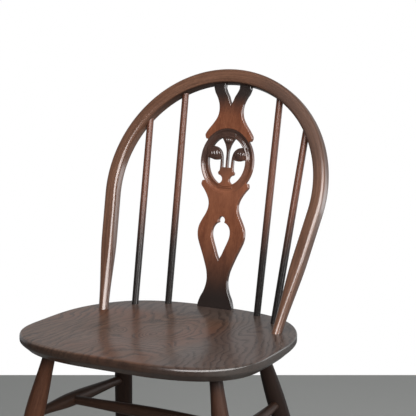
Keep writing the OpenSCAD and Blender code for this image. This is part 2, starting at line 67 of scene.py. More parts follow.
def plain_material(name, colour, roughness):
    material = bpy.data.materials.new(name)
    material.use_nodes = True
    shader = material.node_tree.nodes["Principled BSDF"]
    shader.inputs["Base Color"].default_value = (*colour, 1)
    shader.inputs["Roughness"].default_value = roughness
    shader.inputs["Specular IOR Level"].default_value = 0.2
    return material


# The floor's far edge lies this far from the camera, measured along the floor
FLOOR_END = 3.68
FLOOR_SIZE = 9.0
FLOOR_GREY = (0.29, 0.295, 0.285)
floor_middle = Vector((camera_place.x, camera_place.y, 0)) + (FLOOR_END - FLOOR_SIZE / 2) * away
bpy.ops.mesh.primitive_plane_add(
    size=FLOOR_SIZE, location=floor_middle, rotation=(0, 0, CAMERA_AZIMUTH)
)
floor = bpy.context.object
floor.name = "floor"
floor.data.materials.append(plain_material("pale_floor", FLOOR_GREY, 0.8))


def lit_board(name, place, look_at, width, height, colour, strength):
    """A board that only reflections see"""
    turn = (Vector(look_at) - Vector(place)).to_track_quat("Z", "Y").to_euler()
    bpy.ops.mesh.primitive_plane_add(size=1, location=place, rotation=turn)
    board = bpy.context.object
    board.name = name
    board.scale = (width, height, 1)
    board.data.materials.append(plain_material(name + "_paint", (0.02, 0.02, 0.02), 0.9))
    glow = board.data.materials[0].node_tree.nodes["Principled BSDF"]
    glow.inputs["Emission Color"].default_value = (*colour, 1)
    glow.inputs["Emission Strength"].default_value = strength
    board.visible_camera = False
    board.visible_diffuse = False
    board.visible_shadow = False


# A dim wall behind the chair, a brighter one behind it at the right, and a bright window in
# front at the right with a low part beside the chair
WALL = (0.96, 0.98, 1)
DAYLIGHT = (1, 1, 1)
behind_chair = LOOK_AT + 1.5 * away + Vector((0, 0, 0.95))
lit_board("lit_wall", behind_chair, behind_chair - away, 6, 3.2, WALL, strength=0.6)
lit_board("wall_right", (1.54, 1.9, 0.7), (0, 0.1, 0.6), 2.0, 1.6, WALL, strength=3.0)
lit_board("window", (1.31, -1.803, 2.079), (0, 0, 0.74), 3.5, 1.59, DAYLIGHT, strength=13)
lit_board("window_low", (2.29, -0.32, 0.86), (0.1, 0, 0.86), 1.3, 0.7, DAYLIGHT, strength=13)


def add_node(tree, kind, **sockets):
    """A shader node with plain values in its named sockets"""
    node = tree.nodes.new("ShaderNode" + kind)
    for name, value in sockets.items():
        node.inputs[name].default_value = value
    return node


# The room adds a little light all round, is nearly dark in reflections, and is white to the camera
ROOM_LIGHT = 0.26
ROOM_IN_REFLECTIONS = 0.05
ROOM_IN_VIEW = 1
world = bpy.data.worlds.new("studio")
bpy.context.scene.world = world
world.use_nodes = True
room = world.node_tree
shown = room.nodes["Background"]
shown.inputs["Color"].default_value = (0.97, 0.98, 1, 1)
shown.inputs["Strength"].default_value = ROOM_LIGHT
paths = add_node(room, "LightPath")
for ray, colour, strength in (
    ("Is Glossy Ray", (0.9, 0.95, 1, 1), ROOM_IN_REFLECTIONS),
    ("Is Camera Ray", (1, 1, 1, 1), ROOM_IN_VIEW),
):
    seen = add_node(room, "Background", Color=colour, Strength=strength)
    mix = add_node(room, "MixShader")
    room.links.new(paths.outputs[ray], mix.inputs[0])
    room.links.new(shown.outputs[0], mix.inputs[1])
    room.links.new(seen.outputs[0], mix.inputs[2])
    shown = mix
room.links.new(shown.outputs[0], room.nodes["World Output"].inputs["Surface"])


def soft_lamp(name, place, look_at, width, height, watts):
    """A lamp that lights the wood and casts soft shadows, and that reflections don't see"""
    bpy.ops.object.light_add(type="AREA", location=place)
    lamp = bpy.context.object
    lamp.name = name
    lamp.data.shape = "RECTANGLE"
    lamp.data.size = width
    lamp.data.size_y = height
    lamp.data.energy = watts
    lamp.rotation_euler = (Vector(place) - Vector(look_at)).to_track_quat("Z", "Y").to_euler()
    lamp.visible_glossy = False


soft_lamp("window_right", (2.0, -1.3, 1.5), (0, 0, 0.8), 0.8, 1.9, watts=58)
soft_lamp("window_front", (1.1, -3.2, 1.5), (0, 0, 0.6), 2.2, 1.6, watts=25)
soft_lamp("overhead", (0.2, -0.7, 3.0), (0, 0, 0.4), 1.8, 0.7, watts=42)

# Seat
# One solid board of dark-stained elm, 25 mm thick, sawn to shape, dished on top and undercut
# round its lower edge. Its arris is soft along the front and crisp round the sides and back.
# The seat and the legs are set out from the line on which the bow's feet stand.
FOOT_LINE = 0.039
RIM = 0.4367
SEAT_T = 0.025


def ease(x, a, b):
    """A soft step from 0 at a to 1 at b"""
    t = min(max((x - a) / (b - a), 0), 1)
    return t * t * (3 - 2 * t)


def cubic(p, t):
    """A point on a cubic curve with two end points and two handles"""
    w = ((1 - t) ** 3, 3 * (1 - t) ** 2 * t, 3 * (1 - t) * t * t, t ** 3)
    return tuple(sum(w[k] * p[k][i] for k in range(4)) for i in range(len(p[0])))


def nothing_selected():
    if bpy.context.object and bpy.context.object.mode != "OBJECT":
        bpy.ops.object.mode_set(mode="OBJECT")
    bpy.ops.object.select_all(action="DESELECT")


def pick_up(piece):
    """The piece alone is selected and active"""
    nothing_selected()
    piece.select_set(True)
    bpy.context.view_layer.objects.active = piece


def draw_out(name, rings, grain=None):
    """A closed piece that starts as a flat disc and is extruded from ring to ring.

    The grain vector of each ring's points, in metres with Z along the piece, is kept on the
    mesh so that the wood's figure follows the piece."""
    nothing_selected()
    bpy.ops.mesh.primitive_circle_add(vertices=len(rings[0]), radius=1, fill_type="NGON")
    piece = bpy.context.object
    piece.name = name
    piece.data.name = name
    bpy.ops.object.mode_set(mode="EDIT")
    mesh = bmesh.from_edit_mesh(piece.data)
    place = mesh.verts.layers.int.new("place")
    row = mesh.verts.layers.int.new("row")
    for i, v in enumerate(mesh.verts):
        v[place] = i
        v[row] = 0
        v.co = rings[0][i]
    for k, ring in enumerate(rings[1:], 1):
        bpy.ops.mesh.extrude_region_move(TRANSFORM_OT_translate={"value": (0, 0, 0.001)})
        mesh = bmesh.from_edit_mesh(piece.data)
        place = mesh.verts.layers.int["place"]
        row = mesh.verts.layers.int["row"]
        for v in mesh.verts:
            if v.select:
                v[row] = k
                v.co = ring[v[place]]
    if grain:
        along = mesh.verts.layers.float_vector.new("grain")
        for v in mesh.verts:
            v[along] = grain[v[row]][v[place]]
    mesh.verts.layers.int.remove(mesh.verts.layers.int["place"])
    mesh.verts.layers.int.remove(mesh.verts.layers.int["row"])
    bmesh.update_edit_mesh(piece.data)
    bpy.ops.mesh.select_all(action="SELECT")
    bpy.ops.mesh.normals_make_consistent(inside=False)
    nothing_selected()
    return piece


def smooth(piece, degrees):
    """Smooth shading, with a sharp line where faces meet at more than this angle"""
    pick_up(piece)
    bpy.ops.object.shade_smooth_by_angle(angle=math.radians(degrees))
    nothing_selected()


def add_to_chair(piece, material, slot, *nodes):
    """The piece gets its wood, rides on the chair and stands for its solids"""
    piece.data.materials.clear()
    piece.data.materials.append(material)
    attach(piece, "root")
    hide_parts(*nodes)


# Half of the plan from the front middle to the back middle: a straight length in front, then
# curves with their end points and handles, each with its number of steps
FRONT_STEPS = 6
SEAT_CURVES = (
    ([(0.045, -0.2665), (0.115, -0.2665), (0.226, -0.248), (0.224, -0.137)], 26),
    ([(0.224, -0.137), (0.222, -0.066), (0.227, -0.016), (0.186, 0.0427)], 20),
    ([(0.186, 0.0427), (0.158, 0.0829), (0.1175, 0.1125), (0, 0.1125)], 20),
)
seat_half = [(0.045 * i / FRONT_STEPS, -0.2665) for i in range(FRONT_STEPS)]
for curve, steps in SEAT_CURVES:
    seat_half += [cubic(curve, i / steps) for i in range(steps)]
seat_half.append((0, 0.1125))
seat_plan = [Vector(p) for p in seat_half] + [Vector((-x, y)) for x, y in seat_half[-2:0:-1]]
seat_plan = [p + Vector((0, FOOT_LINE)) for p in seat_plan]
inward = []
for i in range(len(seat_plan)):
    way = (seat_plan[(i + 1) % len(seat_plan)] - seat_plan[i - 1]).normalized()
    inward.append(Vector((-way.y, way.x)))
SIDE_ARRIS = 0.0025
MORE_IN_FRONT = 0.0050
arris = [SIDE_ARRIS + MORE_IN_FRONT * ease(n.y, 0.3, 0.95) for n in inward]


def seat_ring(inset, drop, inset_share=0, drop_share=0):
    """The seat's outline moved in and down, by lengths and by shares of its arris"""
    return [
        (*(p + n * (inset + inset_share * a)), RIM - (drop + drop_share * a))
        for p, n, a in zip(seat_plan, inward, arris)
    ]


# The underside, the undercut's slope and the lower corner, each as its inset and drop
seat_rings = [seat_ring(0.0145, SEAT_T), seat_ring(0.0134, SEAT_T - 0.0003)]
seat_rings += [seat_ring(0.013, SEAT_T - 0.0008)]
seat_rings += [seat_ring(0.013 - 0.0108 * t, 0.0242 - 0.0096 * t) for t in (0.25, 0.5, 0.75, 0.94)]
LOWER_CORNER = ((0.0016, 0.0138), (0.0007, 0.0128), (0.0002, 0.0117), (0, 0.0105))
seat_rings += [seat_ring(inset, drop) for inset, drop in LOWER_CORNER]
# The arris is a quarter round, and inside it the dish sinks softly to its middle
for degrees in range(0, 91, 9):
    turn = math.radians(degrees)
    seat_rings.append(seat_ring(0, 0, 1 - math.cos(turn), 1 - math.sin(turn)))
DISH_MIDDLE = Vector((0, FOOT_LINE - 0.07))
DISH_DEPTH = 0.005
DISH_RINGS = 34
FLAT_RIM = 0.002
for step in range(1, DISH_RINGS):
    k = 1 - step / DISH_RINGS
    height = RIM - DISH_DEPTH * (1 - ease(k, 0.15, 0.82))
    seat_rings.append([
        (*(DISH_MIDDLE + k * (p + n * (a + FLAT_RIM) - DISH_MIDDLE)), height)
        for p, n, a in zip(seat_plan, inward, arris)
    ])
seat = draw_out("seat_board", seat_rings)
smooth(seat, 40)


class Paint:
    """The node tree of one finish, with short calls for the nodes that all the woods use"""

    def __init__(self, name, rough, specular, coat=0.0, coat_rough=0.1):
        self.material = bpy.data.materials.new(name)
        self.material.use_nodes = True
        self.tree = self.material.node_tree
        self.shader = self.tree.nodes["Principled BSDF"]
        self.give("Roughness", rough)
        self.give("Specular IOR Level", specular)
        self.give("Coat Weight", coat)
        self.give("Coat Roughness", coat_rough)

    def put(self, socket, value):
        if isinstance(value, bpy.types.NodeSocket):
            self.tree.links.new(value, socket)
        else:
            socket.default_value = value

    def give(self, name, value):
        """A plain value or another node's value for one of the finish's own sockets"""
        self.put(self.shader.inputs[name], value)

    def place(self):
        """A point of the piece in metres"""
        return add_node(self.tree, "TexCoord").outputs["Object"]

    def grain(self):
        """The grain vector kept on the mesh"""
        node = add_node(self.tree, "Attribute")
        node.attribute_name = "grain"
        return node.outputs["Vector"]

    def noise(self, vector, scale, detail=3.0, bend=0.0, move=(0, 0, 0)):
        """Soft noise, as fine along each axis as the scale says"""
        stretch = add_node(self.tree, "Mapping", Scale=scale, Location=move)
        self.put(stretch.inputs["Vector"], vector)
        node = add_node(self.tree, "TexNoise", Scale=1, Detail=detail, Distortion=bend)
        node.inputs["Roughness"].default_value = 0.55
        self.put(node.inputs["Vector"], stretch.outputs[0])
        return node.outputs["Fac"]

    def work_out(self, kind, *values):
        node = add_node(self.tree, "Math")
        node.operation = kind
        for i, value in enumerate(values):
            self.put(node.inputs[i], value)
        return node.outputs[0]

    def plus(self, first, *others):
        for other in others:
            first = self.work_out("ADD", first, other)
        return first

    def less(self, first, second):
        return self.work_out("SUBTRACT", first, second)

    def times(self, first, second):
        return self.work_out("MULTIPLY", first, second)

    def span(self, value, low, high, to_low=0.0, to_high=1.0, soft=True):
        """The value's way from low to high, as a number from to_low to to_high"""
        node = add_node(self.tree, "MapRange")
        node.interpolation_type = "SMOOTHSTEP" if soft else "LINEAR"
        for key, number in zip(("Value", "From Min", "From Max", "To Min", "To Max"),
                               (value, low, high, to_low, to_high)):
            self.put(node.inputs[key], number)
        return node.outputs[0]

    def blend(self, amount, first, second, kind="MIX"):
        """The first colour taken towards the second"""
        node = add_node(self.tree, "Mix")
        node.data_type = "RGBA"
        node.blend_type = kind
        self.put(node.inputs["Factor"], amount)
        # Among the node's sockets, inputs 6 and 7 and output 2 are those for colours
        for i, colour in ((6, first), (7, second)):
            if not isinstance(colour, bpy.types.NodeSocket):
                colour = (*colour, 1)
            self.put(node.inputs[i], colour)
        return node.outputs[2]

    def stain_and_shade(self, tone, where, share, colour):
        """The tone, taken towards a colour by this share where the mask is full, for a stain and
        for painted shade alike
        """
        return self.blend(self.times(where, share), tone, colour)

    def parts(self, vector):
        node = add_node(self.tree, "SeparateXYZ")
        self.put(node.inputs[0], vector)
        return node.outputs

    def bump(self, height, depth, strength=1.0, coat_too=False):
        node = add_node(self.tree, "Bump", Strength=strength, Distance=depth)
        self.put(node.inputs["Height"], height)
        self.give("Normal", node.outputs[0])
        if coat_too:
            self.give("Coat Normal", node.outputs[0])


# Elm's figure: nested arches that lean a little and point to the back of the seat, straighter
# lines at the sides, small swirls round pin knots, and rows of open pores that the stain turned
# darkest. Each knot has its place, its size and the number of rings that it adds.
ARCH_LEAN = 0.21
ARCH_TIP = 0.05
RINGS_BACK = 15.0
RINGS_ACROSS = 82.0
WANDER = 5.5
RIPPLE = 1.3
KNOT_OVAL = 0.6
KNOTS = (
    ((-0.068, -0.153), 0.013, 3.2), ((-0.076, -0.064), 0.011, 2.6), ((0.002, -0.030), 0.050, 7.5),
    ((-0.018, -0.055), 0.014, 2.8), ((0.070, -0.097), 0.030, 3.5), ((0.115, 0.02), 0.030, 2.5),
)
ELM_DARK = (0.062, 0.034, 0.022)
ELM_PALE = (0.104, 0.058, 0.038)
ELM_RED = (0.106, 0.048, 0.029)
ELM_SHEEN_GREY = (0.062, 0.050, 0.045)
EARLY_WOOD = (0.015, 0.009, 0.007)
OPEN_PORE = (0.008, 0.006, 0.005)
EDGE_DARK = (0.019, 0.011, 0.008)
EDGE_REFLECTION_GREY = (0.050, 0.044, 0.040)
elm = Paint("dark_elm", rough=0.5, specular=0.06, coat=0.42, coat_rough=0.2)
board = elm.place()
board_x, board_y, board_z = elm.parts(board)
wander = elm.noise(board, (11, 7, 11), detail=2)
ripple = elm.noise(board, (55, 38, 55))
across = elm.plus(elm.times(board_y, ARCH_LEAN), board_x)
arch = elm.less(
    elm.work_out("SQRT", elm.plus(elm.times(across, across), ARCH_TIP ** 2)), ARCH_TIP
)
rings = elm.plus(
    elm.times(board_y, RINGS_BACK), elm.times(arch, RINGS_ACROSS),
    elm.times(wander, WANDER), elm.times(ripple, RIPPLE)
)
for (knot_x, knot_y), size, count in KNOTS:
    from_x = elm.less(board_x, knot_x)
    from_y = elm.times(elm.less(board_y, knot_y), KNOT_OVAL)
    square = elm.plus(elm.times(from_x, from_x), elm.times(from_y, from_y))
    swell = elm.work_out("EXPONENT", elm.times(square, -1 / size ** 2))
    rings = elm.plus(rings, elm.times(swell, count))
# The early wood is a dark band at the start of each ring, faint on the edge and in patches
phase = elm.work_out("FRACT", rings)
early = elm.times(elm.span(phase, 0.0, 0.12), elm.span(phase, 0.62, 0.14))
strong = elm.noise(board, (24, 14, 24), move=(3, 1, 0))
on_top = elm.times(elm.span(board_z, 0.4255, 0.4305, 0.3), elm.span(strong, 0.3, 0.62, 0.3))
early = elm.times(early, on_top)
pores = elm.span(elm.noise(board, (700, 60, 700), detail=2), 0.5, 0.62)
pores = elm.times(pores, elm.plus(elm.times(early, 0.85), 0.15))
elm_fibre = elm.noise(board, (300, 18, 300), detail=5)
patch = elm.noise(board, (10, 6, 10), move=(1, 4, 0))
elm_tone = elm.blend(elm.span(elm_fibre, 0.3, 0.7), ELM_DARK, ELM_PALE)
elm_tone = elm.blend(elm.span(patch, 0.4, 0.7), elm_tone, ELM_RED)
# A painted reflection of the lit wall greys the back and the right side, more in some patches
painted_sheen = elm.work_out("MAXIMUM", elm.span(board_x, 0.03, 0.13), elm.span(board_y, 0.02, 0.11))
painted_sheen = elm.plus(painted_sheen, elm.times(patch, 0.6))
elm_tone = elm.blend(elm.span(painted_sheen, 0.5, 1.2, 0.0, 0.65), elm_tone, ELM_SHEEN_GREY)
elm_tone = elm.stain_and_shade(elm_tone, early, 0.55, EARLY_WOOD)
elm_tone = elm.stain_and_shade(elm_tone, pores, 0.55, OPEN_PORE)
# The edge, where the surface turns away from facing up, is darker than the top, and at the right
# it is painted greyer for a reflection of the lit wall
upward = elm.parts(add_node(elm.tree, "NewGeometry").outputs["Normal"])[2]
edge_and_reflection_tone = elm.blend(elm.span(board_x, 0.15, 0.20), EDGE_DARK, EDGE_REFLECTION_GREY)
elm_tone = elm.blend(elm.span(upward, 0.96, 0.6, 0.0, 0.7), elm_tone, edge_and_reflection_tone)
elm.give("Base Color", elm_tone)
# Hands and legs have polished the arris
worn_arris = elm.times(elm.span(upward, 0.985, 0.9), elm.span(upward, 0.1, 0.4))
elm.give("Coat Weight", elm.span(worn_arris, 0, 1, 0.42, 0.8))
open_grain = elm.plus(elm.times(early, 0.5), pores)
open_grain = elm.times(open_grain, elm.span(worn_arris, 0, 1, 1, 0.15))
elm.bump(elm.less(1.0, open_grain), 0.00012, 0.7, coat_too=True)
add_to_chair(seat, elm.material, "seat_wood", "seat")

# Bow
# One length of beech bent by steam to a hoop that leans back, shaved to a soft-cornered
# block section, round at its feet. The feet are tenoned through the seat and wedged below.
# The back and the legs are set out from one level, just under the seat's rim.
LEVEL = 0.435
# The limbs flare out from the feet by LIMB_ANGLE and run into a round hoop of radius BOW_R
BOW_R = 0.2025
BOW_FOOT_X = 0.171
LIMB_ANGLE = math.radians(8)
BOW_LEAN = math.radians(23.2)
BOW_TOP_W = 0.0254
BOW_LIMB_W = 0.0229
BOW_FOOT_D = 0.0175
BOW_TAPER = 0.130
BOW_DEPTH = 0.0270
LIMB_DEPTH = 0.0238
# The power of the section's rounding: 1 is an oval, and less is squarer
BOW_CORNER = 0.5
LIMB_CORNER = 0.43
BOW_MIDDLE = (
    (BOW_R * math.cos(LIMB_ANGLE) - BOW_FOOT_X) / math.tan(LIMB_ANGLE)
    + BOW_R * math.sin(LIMB_ANGLE)
)
BOW_SIDES = 48
LIMB_START = -0.008
LIMB_STEP = 0.0038
LIMB_PARTS = 48
HOOP_PARTS = 120


def on_hoop(across, forward, up):
    """A point of the bow's own leaning frame, in the chair's frame"""
    return Vector((
        across,
        FOOT_LINE + forward * math.cos(BOW_LEAN) + up * math.sin(BOW_LEAN),
        LEVEL - forward * math.sin(BOW_LEAN) + up * math.cos(BOW_LEAN),
    ))


def limb_sections(side):
    """A limb's sections from its foot up: each one's middle, outward way, width, depth, corner"""
    out = (side * math.cos(LIMB_ANGLE), -math.sin(LIMB_ANGLE))
    sections = []
    for i in range(LIMB_PARTS + 1):
        h = LIMB_START + LIMB_STEP * i
        grown = ease(h, 0, BOW_TAPER)
        sections.append((
            (side * (BOW_FOOT_X + h * math.tan(LIMB_ANGLE)), h), out,
            BOW_FOOT_D + (BOW_LIMB_W - BOW_FOOT_D) * grown,
            BOW_FOOT_D + (LIMB_DEPTH - BOW_FOOT_D) * grown, 1 - (1 - LIMB_CORNER) * grown
        ))
    return sections


bow_sections = limb_sections(1)
for i in range(HOOP_PARTS + 1):
    a = -LIMB_ANGLE + (math.pi + 2 * LIMB_ANGLE) * i / HOOP_PARTS
    high = ease(math.sin(a), -0.1, 0.8)
    bow_sections.append((
        (BOW_R * math.cos(a), BOW_MIDDLE + BOW_R * math.sin(a)), (math.cos(a), math.sin(a)),
        BOW_LIMB_W + (BOW_TOP_W - BOW_LIMB_W) * max(math.sin(a), 0) ** 2,
        LIMB_DEPTH + (BOW_DEPTH - LIMB_DEPTH) * high,
        LIMB_CORNER + (BOW_CORNER - LIMB_CORNER) * high
    ))
bow_sections += reversed(limb_sections(-1))
bow_rings, bow_grain = [], []
run = 0.0
last = Vector(bow_sections[0][0])
for middle, out, width, depth, corner in bow_sections:
    run += (Vector(middle) - last).length
    last = Vector(middle)
    ring, lines = [], []
    for i in range(BOW_SIDES):
        a = 2 * math.pi * i / BOW_SIDES
        u = math.copysign(abs(math.cos(a)) ** corner, math.cos(a)) * width / 2
        v = math.copysign(abs(math.sin(a)) ** corner, math.sin(a)) * depth / 2
        ring.append(on_hoop(middle[0] + out[0] * u, v, middle[1] + out[1] * u))
        lines.append((u, v, run))
    bow_rings.append(ring)
    bow_grain.append(lines)
bow = draw_out("bent_bow", bow_rings, bow_grain)
smooth(bow, 50)


def stained_beech(name, dark, warm, rough, specular, coat, coat_rough=0.16):
    """Beech under a walnut stain and a satin lacquer, with its figure along the piece"""
    paint = Paint(name, rough, specular, coat, coat_rough)
    grain = paint.grain()
    fibre = paint.noise(grain, (520, 520, 16), detail=4)
    band = paint.noise(grain, (70, 45, 2.6), detail=2, bend=0.4)
    fleck = paint.span(paint.noise(grain, (1500, 1500, 170), detail=1), 0.58, 0.72)
    cloud = paint.noise(grain, (20, 20, 9))
    figure = paint.plus(paint.times(fibre, 0.5), paint.times(band, 0.5))
    tone = paint.blend(paint.span(figure, 0.36, 0.64), dark, warm)
    tone = paint.stain_and_shade(tone, fleck, 0.45, tuple(0.45 * c for c in dark))
    clouded = paint.blend(paint.span(cloud, 0.3, 0.7), (0.86, 0.84, 0.83), (1.1, 1.1, 1.1))
    tone = paint.blend(1.0, tone, clouded, "MULTIPLY")
    paint.give("Roughness", paint.span(cloud, 0.3, 0.7, rough - 0.04, rough + 0.07, soft=False))
    paint.bump(paint.less(fibre, fleck), 0.00004, 0.6)
    return paint, tone


bow_paint, bow_tone = stained_beech(
    "bow_beech", (0.086, 0.041, 0.025), (0.160, 0.078, 0.048),
    rough=0.42, specular=0.08, coat=0.6, coat_rough=0.18
)
bow_x, _, bow_z = bow_paint.parts(bow_paint.place())
# The lacquer is full on the limbs and thin round the top of the hoop
bow_paint.give("Coat Weight", bow_paint.span(
    bow_paint.plus(bow_z, bow_paint.times(bow_x, 0.25)), 0.700, 0.785, 1.0, 0.15
))
# Painted shade makes the hoop's underside at the top nearly black
outward = bow_paint.parts(bow_paint.grain())[0]
painted_shade_under_hoop = bow_paint.times(
    bow_paint.span(bow_z, 0.74, 0.82), bow_paint.span(outward, -0.0104, -0.0120)
)
bow_tone = bow_paint.stain_and_shade(bow_tone, painted_shade_under_hoop, 0.8, (0.014, 0.009, 0.008))
# Painted shade darkens the hoop's right shoulder
painted_shade_on_shoulder = bow_paint.times(bow_paint.span(bow_x, 0.02, 0.11), bow_paint.span(bow_z, 0.66, 0.74))
bow_tone = bow_paint.stain_and_shade(bow_tone, painted_shade_on_shoulder, 0.38, (0.048, 0.042, 0.040))
bow_paint.give("Base Color", bow_tone)
add_to_chair(bow, bow_paint.material, "bow_wood", "bow")

# Wedges
# A hardwood wedge is driven up into each foot of the bow from under the seat and cut off level.
# The two stay as they were built, in a paler end-grain finish.
wedge_paint = Paint("wedge_end_grain", rough=0.5, specular=0.3)
rays = wedge_paint.noise(wedge_paint.place(), (900, 90, 900))
wedge_paint.give("Base Color", wedge_paint.blend(
    wedge_paint.span(rays, 0.35, 0.65), (0.09, 0.05, 0.03), (0.17, 0.10, 0.06)
))
wedge_paint.bump(rays, 0.0001)
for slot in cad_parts["bow_wedges"].material_slots:
    slot.material = wedge_paint.material

# Spindles
# Four plain turned beech sticks, a little thicker at their middles, each glued into a blind hole
# in the seat and another in the bow. Their colour darkens towards their feet, partly a stain
# sprayed darker there and partly painted shade near the seat.
STICK_R = 0.006
STICK_SWELL = 0.0004
STICK_TENON = 0.012
STICK_FOOT = 0.006
STICK_HEAD = 0.020
STICK_PARTS = 24
# Each one's side, its foot's place out from the middle and back from the bow's feet, and the
# degrees up the hoop at which its head enters
SPINDLES = {
    "spindle_outer_left": (-1, 0.139, 0.0546, 39.5),
    "spindle_inner_left": (-1, 0.0895, 0.088, 62.2),
    "spindle_inner_right": (1, 0.0895, 0.088, 62.2),
    "spindle_outer_right": (1, 0.139, 0.0546, 39.5),
}


def turned(name, foot, top, radii, sides, levels=()):
    """A turned piece between two points. Its radii are pairs of distance and radius.

    Its first rings can be cut level, each at a height above the floor."""
    axis = (top - foot).normalized()
    first = Vector((0, 0, 1)) if abs(axis.z) < 0.7 else Vector((1, 0, 0))
    first = (first - first.dot(axis) * axis).normalized()
    second = axis.cross(first)
    rings, grain = [], []
    for k, (s, r) in enumerate(radii):
        ring, lines = [], []
        for i in range(sides):
            a = 2 * math.pi * i / sides
            u, v = r * math.cos(a), r * math.sin(a)
            point = foot + s * axis + u * first + v * second
            if k < len(levels):
                point -= axis * ((point.z - levels[k]) / axis.z)
            ring.append(point)
            lines.append((u, v, s))
        rings.append(ring)
        grain.append(lines)
    piece = draw_out(name, rings, grain)
    smooth(piece, 40)
    return piece


def painted_shade(paint, tone, start, full, deep):
    """The tone, darkened as painted shade from one height above the floor to another"""
    height = paint.parts(paint.place())[2]
    return paint.blend(paint.span(height, start, full), tone, deep)


spindle_paint, spindle_tone = stained_beech(
    "spindle_beech", (0.088, 0.035, 0.022), (0.155, 0.064, 0.040),
    rough=0.42, specular=0.05, coat=0.3
)
# Painted shade near the seat darkens the feet, over a stain sprayed darker there
spindle_tone = painted_shade(spindle_paint, spindle_tone, 0.64, 0.52, (0.016, 0.013, 0.012))
spindle_paint.give("Base Color", spindle_tone)
for node, (side, foot_x, foot_back, angle) in SPINDLES.items():
    foot = Vector((side * foot_x, FOOT_LINE + foot_back, LEVEL))
    angle = math.radians(angle)
    top = on_hoop(side * BOW_R * math.cos(angle), 0, BOW_MIDDLE + BOW_R * math.sin(angle))
    length = (top - foot).length
    free = length - (STICK_FOOT + STICK_HEAD)
    radii = [(-STICK_TENON, STICK_R)]
    for i in range(STICK_PARTS + 1):
        swell = STICK_SWELL * math.sin(math.pi * i / STICK_PARTS)
        radii.append((STICK_FOOT + free * i / STICK_PARTS, STICK_R + swell))
    radii.append((length, STICK_R))
    spindle = turned(node.replace("spindle", "stick"), foot, top, radii, 32)
    add_to_chair(spindle, spindle_paint.material, "spindle_wood", node)

# Splat
# One flat beech board, 9.5 mm thick, fretted to its outline, with a tear-shaped hole low down
# and a roundel carved above it. Its foot stands in the seat and its two prongs in the bow.
# Its drawing is in millimetres, X out from the middle and Y up from the setting-out level.
SPLAT_T = 0.0095
SPLAT_FOOT = FOOT_LINE + 0.0954
SPLAT_LEAN = math.radians(9.92)
SPLAT_ARRIS = 0.0015
ROUNDEL_H = 263.5
ROUNDEL_W = 51.8
ROUNDEL_OVAL = 1.12
OPENING_W = 37
OPENING_H = 43.5


def through(p, n):
    """A smooth curve through the points, with n steps from each to the next"""
    out = []
    for i in range(len(p) - 1):
        a, b, c, d = p[max(i - 1, 0)], p[i], p[i + 1], p[min(i + 2, len(p) - 1)]
        h1 = (b[0] + (c[0] - a[0]) / 6, b[1] + (c[1] - a[1]) / 6)
        h2 = (c[0] - (d[0] - b[0]) / 6, c[1] - (d[1] - b[1]) / 6)
        out += [cubic([b, h1, h2, c], k / n) for k in range(n)]
    return out + [p[-1]]


def oval_arc(half_w, half_h, low, high, steps):
    """Points up the right side of an oval about the roundel's middle, between two heights"""
    a = math.asin((low - ROUNDEL_H) / half_h)
    b = math.asin((high - ROUNDEL_H) / half_h)
    turns = [a + (b - a) * i / steps for i in range(steps + 1)]
    return [(half_w * math.cos(t), ROUNDEL_H + half_h * math.sin(t)) for t in turns]


def round_arc(x, y, radius, degrees):
    """Points of a circle about x and y, one at each of the angles"""
    turns = [math.radians(a) for a in degrees]
    return [(x + radius * math.cos(t), y + radius * math.sin(t)) for t in turns]


def both_sides(edge):
    """A closed outline from its right half, which starts and ends near the middle line"""
    return edge + [(-x, y) for x, y in reversed(edge) if x > 0.01]


def settle():
    """The selected piece's place, turn and size go into its mesh"""
    bpy.ops.object.transform_apply(location=True, rotation=True, scale=True)


def fretted(name, outlines, front, back, arris):
    """A board sawn to flat outlines, with softened arrises, its face and back at these depths"""
    nothing_selected()
    drawing = bpy.data.curves.new(name, "CURVE")
    drawing.dimensions = "2D"
    drawing.fill_mode = "BOTH"
    drawing.extrude = (back - front) / 2 - arris
    drawing.bevel_depth = arris
    drawing.bevel_resolution = 3
    drawing.offset = -arris
    for outline in outlines:
        line = drawing.splines.new("POLY")
        line.points.add(len(outline) - 1)
        for point, (x, y) in zip(line.points, outline):
            point.co = (x / 1000, y / 1000, 0, 1)
        line.use_cyclic_u = True
    piece = bpy.data.objects.new(name, drawing)
    bpy.context.collection.objects.link(piece)
    pick_up(piece)
    bpy.ops.object.convert(target="MESH")
    piece = bpy.context.object
    bpy.ops.object.mode_set(mode="EDIT")
    bpy.ops.mesh.select_all(action="SELECT")
    bpy.ops.mesh.remove_doubles(threshold=0.00002)
    bpy.ops.mesh.normals_make_consistent(inside=False)
    bpy.ops.object.mode_set(mode="OBJECT")
    piece.location = (0, 0, -(front + back) / 2)
    settle()
    nothing_selected()
    return piece


def cut_with(piece, tool, operation="DIFFERENCE"):
    pick_up(piece)
    bpy.ops.object.modifier_add(type="BOOLEAN")
    cut = piece.modifiers[-1]
    cut.operation = operation
    cut.solver = "EXACT"
    cut.object = tool
    bpy.ops.object.modifier_apply(modifier=cut.name)
    bpy.data.objects.remove(tool)


